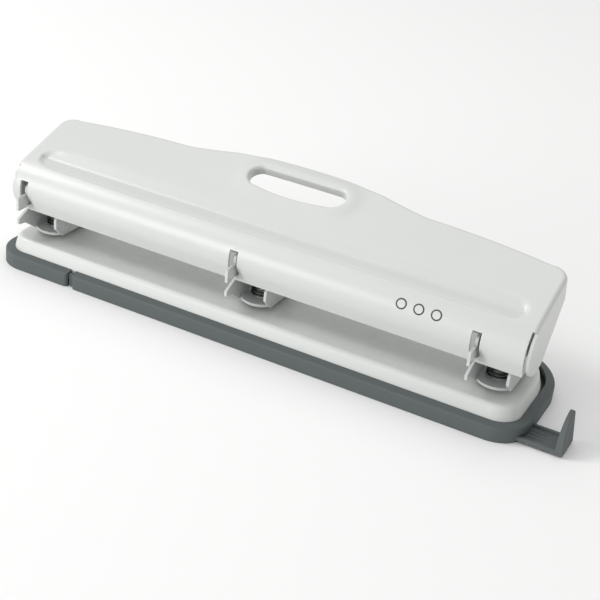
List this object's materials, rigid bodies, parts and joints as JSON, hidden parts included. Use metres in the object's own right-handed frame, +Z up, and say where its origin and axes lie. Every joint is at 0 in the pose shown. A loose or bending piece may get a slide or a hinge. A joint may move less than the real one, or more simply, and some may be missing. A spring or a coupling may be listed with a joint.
{
  "type": "three hole punch",
  "caption": "Desk paper punch: a long steel lever with a hand slot presses spring-returned pins through brackets on a base with a chip tray and sliding guide.",
  "frame": {"origin": "centre of the chip tray's footprint, on the table", "axes": "+X along the punch towards the paper guide, +Y from the paper mouth to the back, +Z up"},
  "size_m": [0.2702, 0.0676, 0.062],
  "materials": {
    "lever_paint": "satin light grey enamel",
    "base_paint": "satin light grey enamel",
    "bracket_paint": "satin light grey enamel",
    "bush_steel": "turned steel",
    "tray_plastic": "fine moulded grain, dark grey",
    "guide_plastic": "fine moulded grain, dark grey",
    "pin_steel": "ground",
    "rod_steel": "drawn bright bar",
    "die_steel": "hardened and ground",
    "rivet_steel": "headed",
    "clip_steel": "oiled black",
    "spring_steel": "blackened wire",
    "leaf_steel": "spring strip"
  },
  "bodies": {
    "base": {"base_plate": "base_paint", "bracket_rivets": "rivet_steel", "chip_tray": "tray_plastic", "guide_spring": "leaf_steel", "bracket_left": "bracket_paint", "bracket_middle": "bracket_paint", "bracket_right": "bracket_paint", "die_left": "die_steel", "die_middle": "die_steel", "die_right": "die_steel", "pin_spring_left": "spring_steel", "pin_spring_middle": "spring_steel", "pin_spring_right": "spring_steel"},
    "lever": {"handle": "lever_paint", "press_rod": "rod_steel", "rod_bush_left": "bush_steel", "rod_bush_right": "bush_steel"},
    "guide": {"paper_guide": "guide_plastic"},
    "door": {"tray_door": "tray_plastic"},
    "pin_left": {"punch_pin_left": "pin_steel", "spring_clip_left": "clip_steel"},
    "pin_middle": {"punch_pin_middle": "pin_steel", "spring_clip_middle": "clip_steel"},
    "pin_right": {"punch_pin_right": "pin_steel", "spring_clip_right": "clip_steel"}
  },
  "joints": [
    {"name": "lever_press", "type": "hinge", "parent": "base", "child": "lever", "pos_m": [0, -0.02345, 0.0269], "axis": [-1, 0, 0], "range_deg": [0, 32], "stiffness_Nm_per_rad": 0.56, "springref_deg": -28.65},
    {"name": "guide_slide", "type": "slide", "parent": "base", "child": "guide", "axis": [1, 0, 0], "range_m": [-0.0125, 0.034]},
    {"name": "door_fold", "type": "hinge", "parent": "base", "child": "door", "pos_m": [-0.0849, 0, 0.0007], "axis": [0, -1, 0], "range_deg": [0, 60]},
    {"name": "pin_left_slide", "type": "slide", "parent": "base", "child": "pin_left", "axis": [0, 0, -1], "range_m": [0, 0.0068], "deforming": ["pin_spring_left"]},
    {"name": "pin_middle_slide", "type": "slide", "parent": "base", "child": "pin_middle", "axis": [0, 0, -1], "range_m": [0, 0.0068], "deforming": ["pin_spring_middle"]},
    {"name": "pin_right_slide", "type": "slide", "parent": "base", "child": "pin_right", "axis": [0, 0, -1], "range_m": [0, 0.0068], "deforming": ["pin_spring_right"]}
  ],
  "couplings": [
    {"joint": "pin_left_slide", "follows": "lever_press", "m_per_rad": 0.012},
    {"joint": "pin_middle_slide", "follows": "lever_press", "m_per_rad": 0.012},
    {"joint": "pin_right_slide", "follows": "lever_press", "m_per_rad": 0.012}
  ]
}
